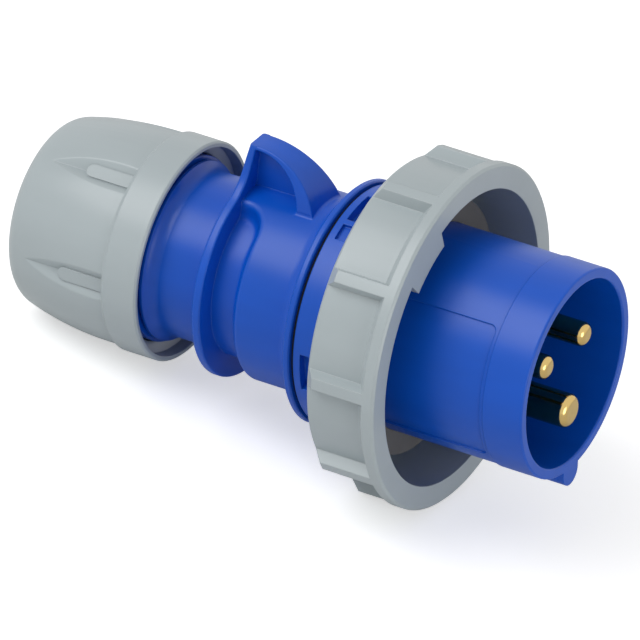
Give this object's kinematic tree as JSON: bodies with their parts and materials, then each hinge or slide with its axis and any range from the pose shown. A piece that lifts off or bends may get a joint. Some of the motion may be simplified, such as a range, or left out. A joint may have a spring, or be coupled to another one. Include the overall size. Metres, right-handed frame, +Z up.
{
  "type": "industrial pin and sleeve plug",
  "caption": "Round keyed power plug: contact pins in a plastic sleeve, a turning bayonet locking ring, a grip with a thumb fin and a screw gland that clamps the cable.",
  "frame": {"origin": "on the table under the middle of the plug, which lies on two ribs of its ring and on its gland nut", "axes": "+X towards the mouth of the sleeve, +Z up; the plug's own axis rises towards the mouth by 10.6 degrees in the XZ plane"},
  "size_m": [0.125, 0.071, 0.0709],
  "materials": {
    "blue_plastic": "fine satin moulded",
    "grey_plastic": "fine satin moulded",
    "dark_plastic": "matt moulded",
    "gasket_rubber": "matt",
    "brass": "turned and polished",
    "screw_steel": "zinc plated"
  },
  "bodies": {
    "plug_body": {"front_sleeve": "blue_plastic", "rear_housing": "blue_plastic", "contact_carrier": "dark_plastic", "contact_retainer": "dark_plastic", "clamp_cage": "grey_plastic", "flange_gasket": "gasket_rubber", "housing_seal": "gasket_rubber", "cable_seal": "gasket_rubber", "earth_pin": "brass", "line_pin": "brass", "neutral_pin": "brass", "earth_clamp_screw": "screw_steel", "line_clamp_screw": "screw_steel", "neutral_clamp_screw": "screw_steel", "retainer_screw_1": "screw_steel", "retainer_screw_2": "screw_steel", "retainer_screw_3": "screw_steel"},
    "ring_body": {"locking_ring": "grey_plastic"},
    "washer_body": {"gland_washer": "grey_plastic"},
    "nut_body": {"gland_nut": "grey_plastic"}
  },
  "joints": [
    {"name": "ring_turn", "type": "hinge", "parent": "plug_body", "child": "ring_body", "pos_m": [0.02474, 0, 0.03459], "axis": [0.983, 0, 0.1834], "range_deg": [0, 45]},
    {"name": "gland_travel", "type": "slide", "parent": "plug_body", "child": "washer_body", "axis": [-0.983, 0, -0.1834], "range_m": [0, 0.006]},
    {"name": "gland_turn", "type": "hinge", "parent": "washer_body", "child": "nut_body", "pos_m": [-0.04358, 0, 0.02184], "axis": [-0.983, 0, -0.1834], "range_deg": [0, 720]}
  ],
  "couplings": [
    {"joint": "gland_travel", "follows": "gland_turn", "m_per_rad": 0.00047746}
  ]
}
